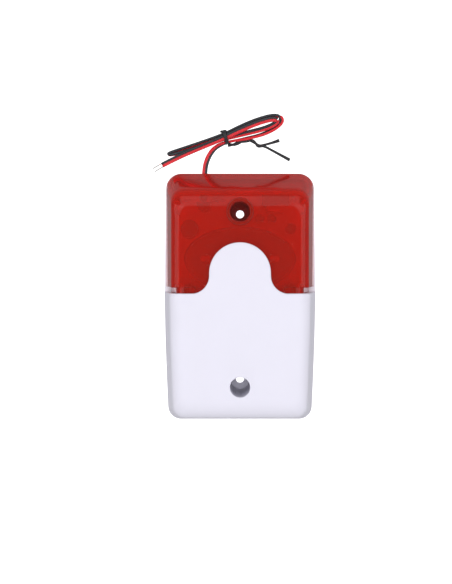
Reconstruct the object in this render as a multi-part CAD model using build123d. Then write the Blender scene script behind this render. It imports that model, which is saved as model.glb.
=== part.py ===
from build123d import *
import math
import os

# Alarm siren with strobe. Millimetres. The unit lies on its back: +Z comes out of the surface it is
# screwed to, +Y is its top end and +X its right side. The origin is the centre of the back face.

# ---- driving sizes of the case
body_width = 74.5  # at the seam between lens and cover, the widest place
body_height = 121.0
body_depth = 42.0
rim_height = 8.0  # back face to the joint between base and shells
wall = 2.0
floor_thick = 2.2
lip_high = 2.0  # of the base's locating lip, above the rim
lip_thick = 1.2
corner_radius = 7.5
bottom_taper = 2.1  # each side of the cover comes in this much by its bottom end
lens_step = 0.75  # each side of the lens stands this much inside the cover
lens_length = 58.3  # top end to the cover's shoulder line
lens_drop = 4.0  # the lens front is this much lower than the cover front
lens_tuck = 6.0  # how far the lens reaches under the cover
lens_gap = 2.6  # open line between the cover's shoulder and the lens flange
side_draft = 8.5  # degrees, as are the next two
top_draft = 21.0
bottom_draft = 9.0
crown_radius = 6.0
cover_crown = 7.0
tongue_radius = 14.4
tongue_reach = 23.9  # shoulder line to the tip of the tongue
tongue_flare = 8.4
fit_gap = 0.25  # between shells that slide into each other
clear_gap = 0.8  # between pieces that only pass each other

# ---- wells for the two wall screws
well_bore = 4.65
well_wall = 1.45
well_floor = 2.0
well_ring = 6.5
well_proud = 0.6
wall_screw_hole = 2.0
top_well_inset = 19.9
bottom_well_inset = 19.1

# ---- case screws, driven from the back
screw_shank = 1.45
screw_head = 2.8
screw_head_high = 1.9
screw_length = 16.0
boss_radius = 3.4
boss_side_gap = 8.4  # inside of the shell wall to the axis of a lens boss
boss_end_gap = 9.4  # inside of the bottom wall to the axis of a cover boss

# ---- board and what stands on it
board_thick = 1.6
board_post_radius = 2.8
board_side_gap = 4.4
board_screw = 1.1
reflector_top = 32.0
reflector_lift = 4.4  # board to the underside of the bowl
reflector_half_height = 15.3
reflector_wall = 1.2
tube_radius = 2.0
tube_end_gap = 9.0  # rim of the bowl to the axis of a tube pin
pin_overhang = 1.2  # end of the tube to the axis of its pin
tube_high = 24.0
wire_radius = 0.35
core_lift = 1.8  # board to the transformer core, over the screw heads
film_lead_gap = 8.2  # axis of the lead to the film capacitor
resistor_post_gap = 3.4
resistor_pitch = 3.0
pin_radius = 0.4
core_half_wide = 6.5
core_half_thick = 3.0
core_high = 11.0
core_window = 2.2  # width of each of the two windows
window_centre = 2.9  # middle of the core to the middle of a window
winding_half_wide = 3.9
winding_half_thick = 5.4
trigger_coil_radius = 3.4
trigger_coil_high = 9.0
flash_capacitor_radius = 4.4
flash_capacitor_high = 16.0
filter_capacitor_radius = 2.5
filter_capacitor_high = 9.0
film_thick = 3.0
film_high = 6.5
can_radius = 2.3
can_high = 4.8
can_xs = (9.5, 15.5)
leg_radius = 0.25
can_leg_pitch = 1.27
chip_half_long = 4.7
chip_half_wide = 1.3
chip_leg_pitch = 2.54
resistor_radius = 0.95
resistor_long = 4.4
resistor_rise = 1.2  # board to the axis of a resistor

# ---- catches of the base that hold the lens
catch_forward = 1.4  # middle of the bowl to the middle of a catch
catch_rise = 7.0  # rim to the top of a catch
catch_half_wide = 4.0
catch_thick = 1.3
catch_nose = 0.75  # the hook stands out this much
catch_nose_high = 1.4
catch_notch = 6.0  # half the gap that a catch takes in the lip

# ---- siren capsule
horn_height = 24.0
horn_wall = 1.6
horn_ear = 3.2
disc_high = 9.0
disc_thick = 0.4
ceramic_thick = 0.3
seal_high = 1.6
cap_thick = 1.8
sound_hole = 4.0
slot_count = 5
slot_wide = 2.4
slot_high = 9.0

# ---- supply lead, a flat pair of wires folded into a hank
lead_wide = 2.65
core_radius = 0.66
lead_post_gap = 9.0  # axis of a top board post to the axis of the lead
lead_high = 3.6
hank_centre = (-7.1, 78.4)
hank_angle = 16.7
hank_length = 60.0
hank_high = 6.8
hank_left_wide = 5.0
hank_right_wide = 9.6
hank_fan = 14.0  # it reaches its full width this far past the tie
waist_long = 2.0
waist_depth = 1.0
tie_radius = 0.6

# ---- worked out from the sizes above
top_end = body_height / 2
bottom_end = -body_height / 2
half_width = body_width / 2
seam = top_end - lens_length
lens_half = half_width - lens_step
lens_front = body_depth - lens_drop
top_well = top_end - top_well_inset
bottom_well = bottom_end + bottom_well_inset
well_outer = well_bore + well_wall
inside_half = lens_half - wall
board_top = rim_height + board_thick
boss_x = inside_half - wall - boss_side_gap - 1.0
lens_boss_y = seam + 1.3
cover_boss_x = inside_half - boss_end_gap + 0.6
cover_boss_y = bottom_end + wall + boss_end_gap
reflector_half_width = inside_half - boss_side_gap + 0.3
reflector_floor = board_top + reflector_lift
pin_x = reflector_half_width - tube_end_gap
tube_length = 2 * (pin_x - pin_overhang)
reflector_y = top_well - well_outer - reflector_half_height - clear_gap
reflector_low = reflector_y - reflector_half_height
horn_top_y = reflector_low - clear_gap
horn_bottom_y = bottom_well + well_outer + clear_gap
horn_radius = min((horn_top_y - horn_bottom_y) / 2, inside_half - wall - 2 * horn_ear - 2 * clear_gap)
horn_y = (horn_top_y + horn_bottom_y) / 2
horn_inner = horn_radius - horn_wall
board_half = inside_half - board_side_gap
board_low = seam + 6.3
board_high = top_end - wall - board_side_gap
post_x = board_half - board_post_radius - 0.6
lead_side = -(post_x - lead_post_gap)
post_ys = (board_low + board_post_radius + 1.5, board_high - board_post_radius - 0.6)


def lean(angle, rise):
    """How far a wall drafted by angle comes in over a rise."""
    return rise * math.tan(math.radians(angle))


def rod(x, y, low, high, radius):
    """An upright cylinder."""
    return Pos(x, y, low) * Cylinder(radius, high - low, align=(Align.CENTER, Align.CENTER, Align.MIN))


def slab(x0, x1, y0, y1, z0, z1):
    """A box between two corners."""
    return Pos((x0 + x1) / 2, (y0 + y1) / 2, (z0 + z1) / 2) * Box(x1 - x0, y1 - y0, z1 - z0)


def outline(corners, radii, height):
    """A flat outline at a height, with its own radius at each corner."""
    sketch = make_face(Polyline(*corners, close=True))
    for corner, radius in zip(corners, radii):
        if radius > 0:
            nearest = sketch.vertices().sort_by_distance(Vector(*corner, 0))[0]
            sketch = fillet(nearest, radius)
    return Pos(0, 0, height) * sketch


def drafted(section, low, high, crown, open_y):
    """A block lofted between two heights, its front edge rounded except along y = open_y."""
    block = loft([section(low).face(), section(high).face()], ruled=True)
    front = block.edges().group_by(Axis.Z)[-1]
    rounded = [edge for edge in front if abs(edge.center().Y - open_y) > 0.05]
    return fillet(rounded, crown)


def lens_block(inset, low_end, side_inset=0.0):
    """The lens's outer form, moved in by inset, cut off at low_end."""
    radius = corner_radius - inset

    def section(height):
        rise = height - rim_height
        across = lens_half - side_inset - inset - lean(side_draft, rise)
        top = top_end - inset - lean(top_draft, rise)
        corners = [(-across, low_end), (across, low_end), (across, top), (-across, top)]
        return outline(corners, [0, 0, radius, radius], height)

    start = rim_height - (1.0 if inset > 0 else 0.0)
    return drafted(section, start, lens_front - inset, crown_radius - inset, low_end)


def cover_block(inset, top):
    """The cover's outer form, moved in by inset, with its open end at y = top."""
    radius = corner_radius - 1.5 - inset

    def section(height):
        rise = height - rim_height
        upper = half_width - inset - lean(side_draft, rise)
        lower = upper - bottom_taper
        low = bottom_end + inset + lean(bottom_draft, rise)
        corners = [(-lower, low), (lower, low), (upper, top), (-upper, top)]
        return outline(corners, [radius, radius, 0, 0], height)

    start = rim_height - (1.0 if inset > 0 else 0.0)
    return drafted(section, start, body_depth - inset, cover_crown - inset, top)


def base_outline(inset, height):
    """The plan of the case at the rim."""
    side = half_width - inset
    top_side = lens_half - inset
    low_side = half_width - bottom_taper - inset
    corners = [
        (-low_side, bottom_end + inset),
        (low_side, bottom_end + inset),
        (side, seam),
        (top_side, top_end - inset),
        (-top_side, top_end - inset),
        (-side, seam),
    ]
    low_radius = corner_radius - 1.5 - inset
    top_radius = corner_radius - inset
    return outline(corners, [low_radius, low_radius, 0, top_radius, top_radius, 0], height)


def mirrored(x, ys):
    """The same heights along Y on both sides."""
    return [(side * x, y) for y in ys for side in (-1, 1)]


case_screw_spots = mirrored(boss_x, [lens_boss_y]) + mirrored(cover_boss_x, [cover_boss_y])
board_spots = mirrored(post_x, post_ys)
lip_inset = wall + fit_gap + lean(top_draft, lip_high)
horn_ear_x = horn_radius + horn_ear + 0.8
horn_spots = mirrored(horn_ear_x, [horn_y])
ear_low = floor_thick + 3.0
screw_seat = floor_thick + 1.8
catch_y = reflector_y + catch_forward
catch_high = rim_height + catch_rise


def post(x, y, high, radius):
    """A post of the base with a blind hole for a small screw."""
    return rod(x, y, 0, high, radius) - rod(x, y, floor_thick, high, board_screw + 0.05)


def make_base():
    """Back tray: floor, rim, locating lip, posts for board, siren and case screws, and two catches."""
    tray = extrude(base_outline(0, 0), rim_height)
    tray -= extrude(base_outline(wall, floor_thick), rim_height)
    lip = extrude(base_outline(lip_inset, floor_thick), rim_height + lip_high - floor_thick)
    lip += extrude(base_outline(wall - 0.2, floor_thick), rim_height - floor_thick)
    lip -= extrude(base_outline(lip_inset + lip_thick, floor_thick), body_depth)
    flange = (seam - lens_tuck - clear_gap, seam + lens_gap + wall + clear_gap)
    for low, high in (flange, (catch_y - catch_notch, catch_y + catch_notch)):
        lip -= slab(-half_width, half_width, low, high, rim_height, body_depth)
    tray += lip
    for x, y in case_screw_spots:
        tray += rod(x, y, 0, rim_height, boss_radius + 0.6)
    for x, y in case_screw_spots:
        tray -= rod(x, y, -1, screw_seat, screw_head + 0.3)
        tray -= rod(x, y, 0, rim_height + 1, screw_shank + fit_gap)
    for x, y in board_spots:
        tray += post(x, y, rim_height, board_post_radius)
    for x, y in horn_spots:
        tray += post(x, y, ear_low, horn_ear)
    for well in (top_well, bottom_well):
        tray -= rod(0, well, -1, floor_thick + 1, wall_screw_hole)
    for side in (-1, 1):
        tray += make_catch(side)
    half = lead_wide / 2 + fit_gap
    tray -= slab(lead_side - half, lead_side + half, top_end - 6, top_end + 1, floor_thick, lead_high + half)
    return tray


def catch_face(height):
    """X of the lens's inner wall at a height."""
    return lens_half - wall - lean(side_draft, height - rim_height)


def make_catch(side):
    """A springy hook of the base that snaps into a pocket in the lens's side."""
    face = catch_face(catch_high) - fit_gap
    low, high = catch_y - catch_half_wide, catch_y + catch_half_wide
    nose_top = catch_high - 0.4
    blade = slab(face - catch_thick, face, low, high, floor_thick / 2, catch_high)
    nose = slab(face - 0.2, face + catch_nose, low, high, nose_top - catch_nose_high, nose_top)
    foot = slab(face - catch_thick, face + 2, low, high, floor_thick / 2, floor_thick + 1.5)
    hook = blade + nose + foot
    return hook if side > 0 else mirror(hook, Plane.YZ)


def make_lens():
    """Red shell: crown, screw well and two bosses; its low end is narrower and goes under the cover."""
    flange_end = seam + lens_gap
    tuck_end = seam - lens_tuck
    under = wall + 2 * fit_gap
    outer = lens_block(0, flange_end) + lens_block(0, tuck_end, side_inset=under)
    inner = lens_block(wall, flange_end + wall)
    inner += lens_block(wall, tuck_end - 1, side_inset=under)
    shell = outer - inner
    inside = [rod(x, lens_boss_y, rim_height, lens_front + 9, boss_radius) for x in (-boss_x, boss_x)]
    for boss in inside:
        shell += boss & outer
    shell += rod(0, top_well, floor_thick, lens_front - wall / 2, well_outer)
    shell += rod(0, top_well, lens_front - 4.5, lens_front + well_proud, well_ring)
    shell -= rod(0, top_well, floor_thick + well_floor, body_depth + 1, well_bore)
    shell -= rod(0, top_well, 0, body_depth, wall_screw_hole)
    for x in (-boss_x, boss_x):
        shell -= rod(x, lens_boss_y, rim_height - 1, rim_height + screw_length, screw_shank + 0.05)
    for side in (-1, 1):
        shell -= catch_pocket(side)
    return shell


def catch_pocket(side):
    """The hollow in the lens wall that a catch's nose snaps into."""
    face = catch_face(catch_high)
    half = catch_half_wide + 0.4
    depth = catch_nose + 0.15
    low = catch_high - catch_nose_high - clear_gap
    pocket = slab(face - 1.0, face + depth, catch_y - half, catch_y + half, low, catch_high + 0.1)
    return pocket if side > 0 else mirror(pocket, Plane.YZ)


def tongue_plan(inset):
    """The tongue that covers part of the lens: round tip, straight sides and flared roots."""
    radius = tongue_radius - inset
    centre = seam + tongue_reach - tongue_radius
    wide = tongue_radius + tongue_flare + 2
    plan = Pos(0, centre) * Circle(radius)
    root = seam - inset
    plan += Pos(0, (root - 2 + centre) / 2) * Rectangle(2 * radius, centre - root + 2)
    plan += Pos(0, root - 2) * Rectangle(2 * wide, 4)
    roots = [v for v in plan.vertices() if abs(v.Y - root) < 0.01 and abs(v.X) < radius + 0.01]
    return fillet(roots, tongue_flare)


def make_cover():
    """White shell: body, tongue over the lens, screw well, two bosses and sound slots at the bottom end."""
    outer = cover_block(0, seam)
    shell = outer - cover_block(wall, seam - wall)
    hole = lens_block(-fit_gap, seam - lens_tuck - 4, side_inset=wall + 2 * fit_gap)
    hole += Pos(0, 0, -3) * hole
    shell -= hole
    tongue = Pos(0, 0, lens_front + fit_gap) * extrude(tongue_plan(0), lens_drop - fit_gap)
    tongue -= Pos(0, 0, lens_front) * extrude(tongue_plan(wall), lens_drop - wall)
    shell += tongue
    for x in (-cover_boss_x, cover_boss_x):
        shell += rod(x, cover_boss_y, rim_height, body_depth, boss_radius) & outer
    shell += rod(0, bottom_well, floor_thick, body_depth - wall / 2, well_outer)
    shell -= rod(0, bottom_well, floor_thick + well_floor, body_depth + 1, well_bore)
    shell -= rod(0, bottom_well, 0, body_depth, wall_screw_hole)
    for x in (-cover_boss_x, cover_boss_x):
        shell -= rod(x, cover_boss_y, rim_height - 1, rim_height + screw_length, screw_shank + 0.05)
    for number in range(slot_count):
        x = (number - (slot_count - 1) / 2) * 2 * slot_wide
        left, right = x - slot_wide / 2, x + slot_wide / 2
        low = rim_height + 5
        shell -= slab(left, right, bottom_end - 1, bottom_end + 8, low, low + slot_high)
    return shell


def pan_screw(x, y, seat, shank, head, head_high, length, up=1):
    """A cross-head screw: its head's flat is at seat, and its shank goes up or down from there."""
    if up > 0:
        body = rod(x, y, seat - head_high, seat, head) + rod(x, y, seat, seat + length, shank)
        cross = seat - head_high
    else:
        body = rod(x, y, seat, seat + head_high, head) + rod(x, y, seat - length, seat, shank)
        cross = seat + head_high
    body -= Pos(x, y, cross) * (Box(head * 1.2, 0.6, 1.6) + Box(0.6, head * 1.2, 1.6))
    return body


def make_case_screws():
    """Four screws from the back, two into the lens and two into the cover."""
    return Compound(
        [
            pan_screw(x, y, screw_seat, screw_shank, screw_head, screw_head_high, screw_length).solid()
            for x, y in case_screw_spots
        ]
    )


def make_board():
    """Circuit board with a hole for the screw well, screw holes, wire holes and pin holes."""
    board = slab(-board_half, board_half, board_low, board_high, rim_height, board_top)
    board -= rod(0, top_well, 0, body_depth, well_outer + clear_gap)
    for x, y in board_spots:
        board -= rod(x, y, 0, body_depth, board_screw + 0.15)
    for x, y in lead_holes():
        board -= rod(x, y, 0, body_depth, core_radius + 0.1)
    for side in (-1, 1):
        board -= rod(side * pin_x, reflector_y, 0, body_depth, pin_radius + 0.1)
    return board


def make_board_screws():
    """Four small screws that hold the board on its posts."""
    return Compound(
        [
            pan_screw(x, y, board_top, board_screw - 0.02, 2.0, 1.4, 5.0, up=-1).solid()
            for x, y in board_spots
        ]
    )


def bowl(half_long, half_high, low, high, shrink):
    """An elliptical bowl, solid, wider at its rim."""
    foot = Pos(0, reflector_y, low) * Ellipse(half_long * 0.5 - shrink, half_high * 0.42 - shrink)
    waist_level = low + (high - low) * 0.45
    waist = Pos(0, reflector_y, waist_level) * Ellipse(half_long * 0.82 - shrink, half_high * 0.80 - shrink)
    rim = Pos(0, reflector_y, high) * Ellipse(half_long - shrink, half_high - shrink)
    return loft([foot.face(), waist.face(), rim.face()])


def make_reflector():
    """Bright bowl behind the flash tube, on four legs, with a hole for each pin and the trigger wire."""
    half_long, half_high = reflector_half_width, reflector_half_height
    dish = bowl(half_long, half_high, reflector_floor, reflector_top, 0)
    dish -= bowl(half_long, half_high, reflector_floor + reflector_wall, reflector_top + 0.01, reflector_wall)
    for side in (-1, 1):
        dish -= rod(side * pin_x, reflector_y, board_top, tube_high, pin_radius + 1.0)
    dish -= rod(0, reflector_y + tube_radius + wire_radius, board_top, tube_high, wire_radius + 0.6)
    for x in (-reflector_half_width * 0.28, reflector_half_width * 0.28):
        dish += rod(x, reflector_y - 3, board_top, reflector_floor + 0.6, 1.2)
        dish += rod(x, reflector_y + 3, board_top, reflector_floor + 0.6, 1.2)
    return dish


def across_tube(x):
    """A place on the tube's axis, with Z turned along it."""
    return Pos(x, reflector_y, tube_high) * Rot(0, 90, 0)


def make_flash_tube():
    """Straight glass tube of the strobe."""
    glass = Cylinder(tube_radius, tube_length - 4) - Cylinder(tube_radius - 0.5, tube_length - 3)
    return across_tube(0) * glass


def make_tube_ends():
    """Metal end caps of the tube with their pins down to the board."""
    ends = []
    for side in (-1, 1):
        cap = across_tube(side * (tube_length / 2 - 1)) * Cylinder(tube_radius, 2)
        stub = across_tube(side * (tube_length / 2 + 0.6)) * Cylinder(pin_radius, 1.6)
        pin = rod(side * pin_x, reflector_y, rim_height - 1.5, tube_high + pin_radius, pin_radius)
        ends.append((cap + stub + pin).solid())
    return Compound(ends)


def make_trigger_wire():
    """Fine wire round the middle of the tube, down through the bowl to the board."""
    ring = across_tube(0) * Torus(tube_radius + wire_radius + 0.05, wire_radius)
    drop = rod(0, reflector_y + tube_radius + wire_radius + 0.05, board_top, tube_high, wire_radius - 0.05)
    return ring + drop


def make_transformer_core():
    """Ferrite core of the step-up transformer: two legs and two yokes round the bobbin."""
    x, y = right_group()
    low = board_top + core_lift
    high = low + core_high
    frame = slab(x - core_half_wide, x + core_half_wide, y - core_half_thick, y + core_half_thick, low, high)
    for middle in (x - window_centre, x + window_centre):
        left, right = middle - core_window / 2, middle + core_window / 2
        frame -= slab(left, right, y - core_half_thick - 1, y + core_half_thick + 1, low + 2, high - 2)
    return frame


def right_group():
    """Centre of the transformer, between the screw well and the top right board post."""
    return (well_outer + post_x) / 2 + 0.8, board_high - 7.2


def make_transformer_winding():
    """Bobbin with its winding, round the middle leg of the core."""
    x, y = right_group()
    low = board_top + core_lift
    left, right = x - winding_half_wide, x + winding_half_wide
    leg_half = window_centre - core_window / 2 + 0.05
    leg_thick = core_half_thick + 0.05
    foot_start = core_half_thick + 0.2
    coil = slab(left, right, y - winding_half_thick, y + winding_half_thick, low + 2.1, low + core_high - 2.1)
    coil -= slab(x - leg_half, x + leg_half, y - leg_thick, y + leg_thick, low + 1, low + core_high - 1)
    feet = slab(left, right, y - winding_half_thick, y - foot_start, board_top, low + 2.2)
    feet += slab(left, right, y + foot_start, y + winding_half_thick, board_top, low + 2.2)
    return coil + feet


def make_trigger_coil():
    """Small upright coil that fires the tube."""
    x, y = lead_side, board_high - 9.0
    high = board_top + trigger_coil_high
    return rod(x, y, board_top, high, trigger_coil_radius) + rod(x, y, high, high + 1, 1.6)


def make_flash_capacitor():
    """Tall capacitor that feeds the flash, at the left between bowl and lens wall."""
    x, y = -reflector_half_width + 2.2, top_well - 7.6
    groove = (board_top + 1.8, board_top + 2.4)
    ring = rod(x, y, *groove, flash_capacitor_radius + 0.6) - rod(x, y, *groove, flash_capacitor_radius - 0.3)
    return rod(x, y, board_top, board_top + flash_capacitor_high, flash_capacitor_radius) - ring


def make_filter_capacitor():
    """Small capacitor across the supply."""
    x, y = reflector_half_width - 1.6, top_well - 7.2
    return rod(x, y, board_top, board_top + filter_capacitor_high, filter_capacitor_radius)


def make_film_capacitor():
    """Flat capacitor of the trigger circuit."""
    x, y = lead_side + film_lead_gap, board_high - 3.2
    half = film_thick / 2
    body = slab(x - 4.5, x + 2.5, y - half, y + half, board_top, board_top + film_high)
    return fillet(body.edges().filter_by(Axis.Z), 0.8)


def make_transistors():
    """Two switching transistors with a flat front."""
    made = []
    y = top_well - 2.6
    low = board_top + 2
    for x in can_xs:
        can = rod(x, y, low, low + can_high, can_radius)
        can -= slab(x - 3, x + 3, y - 3, y - 1.4, board_top, low + can_high + 1)
        for leg in (-can_leg_pitch, 0, can_leg_pitch):
            can += rod(x + leg, y, board_top, low + 0.2, leg_radius)
        made.append(can.solid())
    return Compound(made)


def make_tone_chip():
    """Eight-legged chip that makes the siren tone."""
    x, y = 0, board_low + 2.2
    left, right = x - chip_half_long, x + chip_half_long
    chip = slab(left, right, y - chip_half_wide, y + chip_half_wide, board_top + 0.6, board_top + 3.6)
    reach = chip_half_wide + 0.6
    for number in range(4):
        leg = x + (number - 1.5) * chip_leg_pitch
        chip += slab(leg - 0.4, leg + 0.4, y - reach, y + reach, board_top, board_top + 1.6)
    return chip


def make_resistors():
    """Five resistors lying on the board."""
    made = []
    first = post_x - resistor_post_gap
    for x in [first - number * resistor_pitch for number in range(4)] + [-first]:
        y = board_low + 3.4
        axis = Pos(x, y, board_top + resistor_rise) * Rot(90, 0, 0)
        body = axis * Cylinder(resistor_radius, resistor_long)
        wire = axis * Cylinder(leg_radius, resistor_long + 1.8)
        for side in (-1, 1):
            wire += rod(x, y + side * 3.0, board_top, board_top + resistor_rise + 0.1, leg_radius)
        made.append((body + wire).solid())
    return Compound(made)


def make_horn_body():
    """Cup of the siren capsule, with a ledge for the disc and two screw ears."""
    low = floor_thick + 0.4
    cup = rod(0, horn_y, low, floor_thick + horn_height, horn_radius)
    for x, y in horn_spots:
        cup += rod(x, y, ear_low, ear_low + 2.2, horn_ear)
        inner_x = x - math.copysign(horn_ear + 1.6, x)
        cup += slab(min(x, inner_x), max(x, inner_x), y - horn_ear, y + horn_ear, ear_low, ear_low + 2.2)
    cup -= rod(0, horn_y, low + horn_wall, floor_thick + horn_height + 1, horn_inner - 1.6)
    cup -= rod(0, horn_y, disc_high, floor_thick + horn_height + 1, horn_inner)
    for x, y in horn_spots:
        cup -= rod(x, y, 0, body_depth, board_screw + 0.15)
    notch = -horn_inner * 0.6
    cup -= slab(notch, notch + 3.2, horn_y, horn_y + horn_radius + 1, disc_high - 2.4, disc_high)
    return cup


def make_disc():
    """Brass plate of the piezo sounder."""
    return rod(0, horn_y, disc_high, disc_high + disc_thick, horn_inner - 0.1)


def make_ceramic():
    """Ceramic layer on the back of the brass plate."""
    return rod(0, horn_y, disc_high - ceramic_thick, disc_high, horn_inner * 0.62)


def make_seal():
    """Rubber ring that presses the plate on its ledge."""
    low = disc_high + disc_thick
    high = low + seal_high
    return rod(0, horn_y, low, high, horn_inner - 0.1) - rod(0, horn_y, low, high, horn_inner - 2)


def make_horn_cap():
    """Front of the capsule: a spigot down to the seal and a plate with the sound hole."""
    low = disc_high + disc_thick + seal_high
    high = floor_thick + horn_height
    cap = rod(0, horn_y, low, high, horn_inner - 0.1) - rod(0, horn_y, low, high, horn_inner - 1.7)
    cap += rod(0, horn_y, high, high + cap_thick, horn_radius)
    cap -= rod(0, horn_y, low, high + cap_thick + 1, sound_hole)
    return cap


def make_horn_screws():
    """Two screws through the capsule's ears."""
    return Compound(
        [
            pan_screw(x, y, ear_low + 2.2, board_screw - 0.02, 2.0, 1.4, 4.6, up=-1).solid()
            for x, y in horn_spots
        ]
    )


def make_sounder_leads():
    """Two thin wires from the piezo plate, out through the cup's notch and up to the board."""
    made = []
    notch_x = -horn_inner * 0.6
    level = disc_high - 1.2
    for offset in (0.9, 2.3):
        x = notch_x + offset
        end_y = board_low + 0.4
        path = FilletPolyline(
            (x, horn_y + horn_inner * 0.5, level),
            (x, end_y - 3.4, level),
            (x, end_y - 3.4, board_top + 1.5),
            (x, end_y, board_top + 1.5),
            (x, end_y, board_top),
            radius=[0.9, 0.9, 0.7],
        )
        made.append(sweep((path ^ 0) * Circle(wire_radius), path=path).solid())
    return Compound(made)


def lead_holes():
    """Where the two supply wires pass the board."""
    return [(lead_side - 1.3, board_high - 1.6), (lead_side + 1.3, board_high - 1.6)]


lead_inner_end = top_end - 4.2


def make_inner_leads():
    """The red and the black wire inside the case, from the flat lead up through the board."""
    made = []
    for side, (x, y) in zip((-1, 1), lead_holes()):
        start = (lead_side + side * core_radius, lead_inner_end, lead_high)
        straight = (start[0], start[1] - 1.4, lead_high)
        path = FilletPolyline(start, straight, (x, y, lead_high), (x, y, board_top + 0.8), radius=[1.0, 0.8])
        made.append(sweep((path ^ 0) * Circle(core_radius - 0.06), path=path).solid())
    return Compound(made)


def along_hank(x, y):
    """A point given along and across the hank, in the plan."""
    angle = math.radians(hank_angle)
    return (
        hank_centre[0] + x * math.cos(angle) - y * math.sin(angle),
        hank_centre[1] + x * math.sin(angle) + y * math.cos(angle),
    )


def hank_plan():
    """Plan of the folded lead: slim to the left of the tie, fanning out to the right of it."""
    half = hank_length / 2
    left = hank_left_wide / 2
    right = hank_right_wide / 2
    lower = [(-half, -left), (0, -left), (hank_fan, -right), (half, -right)]
    upper = [(x, -y) for x, y in reversed(lower)]
    points = [along_hank(x, y) for x, y in lower + upper]
    return outline(points, [1.8, 0, 0, 4.0, 4.0, 0, 0, 1.8], 0)


def make_hank():
    """Outer form of the folded lead, squeezed where the tie goes round it."""
    block = extrude(hank_plan(), hank_high)
    half = hank_left_wide / 2
    squeezed = tie_frame() * Box(waist_long, 2 * half + 9, hank_high + 9)
    squeezed -= tie_frame() * Box(waist_long, 2 * half - 2 * waist_depth, hank_high - 2 * waist_depth)
    return block - squeezed


def tie_frame():
    """Place of the tie: its axis runs along the hank."""
    return Pos(*hank_centre, hank_high / 2) * Rot(0, 0, hank_angle)


def make_tie():
    """Wire tie: a band in the hank's squeezed part, a twist and two tails."""
    half = hank_left_wide / 2
    band = tie_frame() * Box(waist_long - 0.1, 2 * half + 0.6, hank_high)
    band -= tie_frame() * Box(waist_long, 2 * half - 2 * waist_depth, hank_high - 2 * waist_depth)
    long_tail = FilletPolyline(
        (*along_hank(0, -half - 0.1), 1.3),
        (0.0, 75.7, 1.3),
        (6.6, 76.4, 1.3),
        (9.0, 74.6, 1.1),
        (12.0, 75.0, 0.9),
        (25.2, 67.7, 0.8),
        radius=[4.0, 1.4, 1.4, 1.4],
    )
    short_tail = Line((11.4, 75.0, 0.9), (19.7, 77.4, 0.9))
    tie = band + sweep((long_tail ^ 0) * Circle(tie_radius), path=long_tail)
    tie += sweep((short_tail ^ 0) * Circle(tie_radius), path=short_tail)
    return tie - make_hank()


def lead_route():
    """Route of the lead's first stretch, from inside the case to the side of the hank."""
    return [
        (lead_side, lead_inner_end, lead_high),
        (lead_side, top_end + 0.6, lead_high),
        (-16.8, 67.4, 1.7),
        (-13.3, 73.5, 1.7),
    ]


def bend_radii(points):
    """The largest radius at each inner point that its two runs allow."""
    radii = []
    for before, here, after in zip(points, points[1:], points[2:]):
        first = Vector(*here) - Vector(*before)
        second = Vector(*after) - Vector(*here)
        turn = first.get_angle(second)
        shorter = min(first.length, second.length)
        radii.append(0.45 * shorter / math.tan(math.radians(turn / 2)))
    return radii


def make_exit_lead():
    """The lead's own outline from the case to the hank, as a plain tube."""
    points = lead_route()
    radii = bend_radii(points)
    print("lead radii", [round(radius, 1) for radius in radii])
    path = FilletPolyline(*points, radius=radii)
    return sweep((path ^ 0) * Circle(lead_wide / 2), path=path) - make_hank()


tail_points = [(-33.5, 68.8), (-38.8, 65.4)]
tip_point = (-43.4, 62.7)


def make_tail():
    """The lead's free end, past the left end of the hank, as a plain tube."""
    path = Line((*tail_points[0], lead_wide / 2 + 0.1), (*tail_points[1], lead_wide / 2 + 0.1))
    return sweep((path ^ 0) * Circle(lead_wide / 2), path=path) - make_hank()


def make_wire_ends():
    """Two tinned wire ends."""
    start = Vector(*tail_points[1], lead_wide / 2 + 0.1)
    finish = Vector(*tip_point, lead_wide / 2 + 0.1)
    across = (finish - start).normalized().cross(Vector(0, 0, 1)) * core_radius
    made = []
    for side in (-1, 1):
        path = Line(start + across * side, finish + across * side * 1.6)
        made.append(sweep((path ^ 0) * Circle(0.42), path=path).solid())
    return Compound(made) - make_tail()


nodes = {
    "base": make_base,
    "lens": make_lens,
    "front_cover": make_cover,
    "case_screws": make_case_screws,
    "control_board": make_board,
    "board_screws": make_board_screws,
    "reflector": make_reflector,
    "flash_tube": make_flash_tube,
    "tube_electrodes": make_tube_ends,
    "trigger_wire": make_trigger_wire,
    "transformer_core": make_transformer_core,
    "transformer_winding": make_transformer_winding,
    "trigger_coil": make_trigger_coil,
    "flash_capacitor": make_flash_capacitor,
    "filter_capacitor": make_filter_capacitor,
    "film_capacitor": make_film_capacitor,
    "transistors": make_transistors,
    "tone_chip": make_tone_chip,
    "resistors": make_resistors,
    "horn_body": make_horn_body,
    "piezo_plate": make_disc,
    "piezo_ceramic": make_ceramic,
    "disc_seal": make_seal,
    "horn_cap": make_horn_cap,
    "horn_screws": make_horn_screws,
    "sounder_leads": make_sounder_leads,
    "inner_leads": make_inner_leads,
    "lead_exit": make_exit_lead,
    "lead_hank": make_hank,
    "lead_tail": make_tail,
    "wire_ends": make_wire_ends,
    "twist_tie": make_tie,
}

os.makedirs("parts", exist_ok=True)
for name, make in nodes.items():
    export_step(make(), f"parts/{name}.step")
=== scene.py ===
import math

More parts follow.
